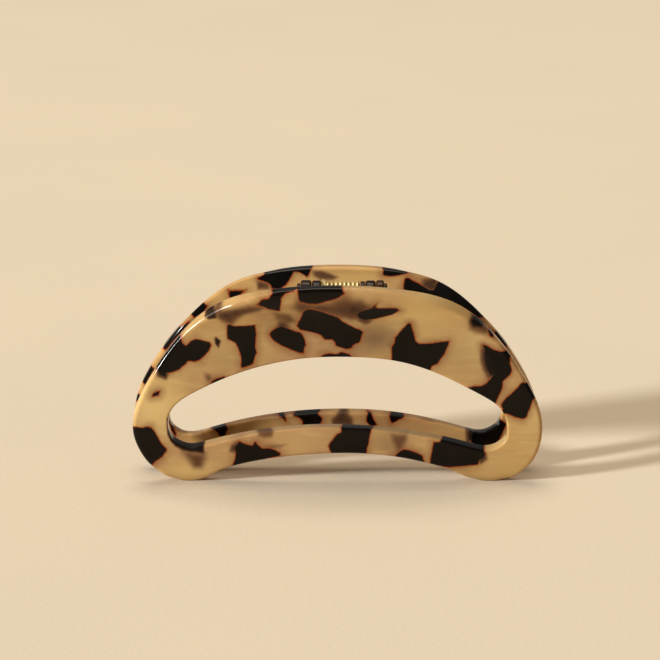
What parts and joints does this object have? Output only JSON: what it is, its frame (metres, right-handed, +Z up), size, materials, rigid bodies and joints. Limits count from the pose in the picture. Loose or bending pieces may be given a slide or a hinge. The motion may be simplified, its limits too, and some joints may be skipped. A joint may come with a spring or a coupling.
{
  "type": "claw hair clip",
  "caption": "Claw hair clip: matching bent crescent frames with crescent cut-outs, hinged near their top edges on a pin with a torsion spring.",
  "frame": {"origin": "on the surface that the closed clip stands on, midway between the two frames", "axes": "+X along the clip's length, +Y from the front frame to the rear frame, +Z up to the handles and the hinge"},
  "size_m": [0.1106, 0.0252, 0.0566],
  "materials": {
    "tortoiseshell_acetate": "polished honey-coloured cellulose acetate with near-black chips",
    "dark_acetate": "polished near-black brown acetate",
    "brown_acetate": "polished translucent dark brown acetate",
    "pin_steel": "plain drawn steel",
    "gold_wire": "pale gold plated spring wire"
  },
  "bodies": {
    "rear_half": {"rear_frame": "tortoiseshell_acetate", "rear_ear_left": "dark_acetate", "rear_ear_right": "brown_acetate", "hinge_pin": "pin_steel", "pin_cap_left": "dark_acetate", "pin_cap_right": "dark_acetate", "spring_collar": "dark_acetate", "torsion_spring": "gold_wire"},
    "front_half": {"front_frame": "tortoiseshell_acetate", "front_ear_left": "dark_acetate", "front_ear_right": "dark_acetate"}
  },
  "joints": [
    {"name": "jaw_hinge", "type": "hinge", "parent": "rear_half", "child": "front_half", "pos_m": [0, 0, 0.0525], "axis": [-1, 0, 0], "range_deg": [0, 50], "stiffness_Nm_per_rad": 0.07, "springref_deg": -49.85, "deforming": ["torsion_spring"]}
  ]
}
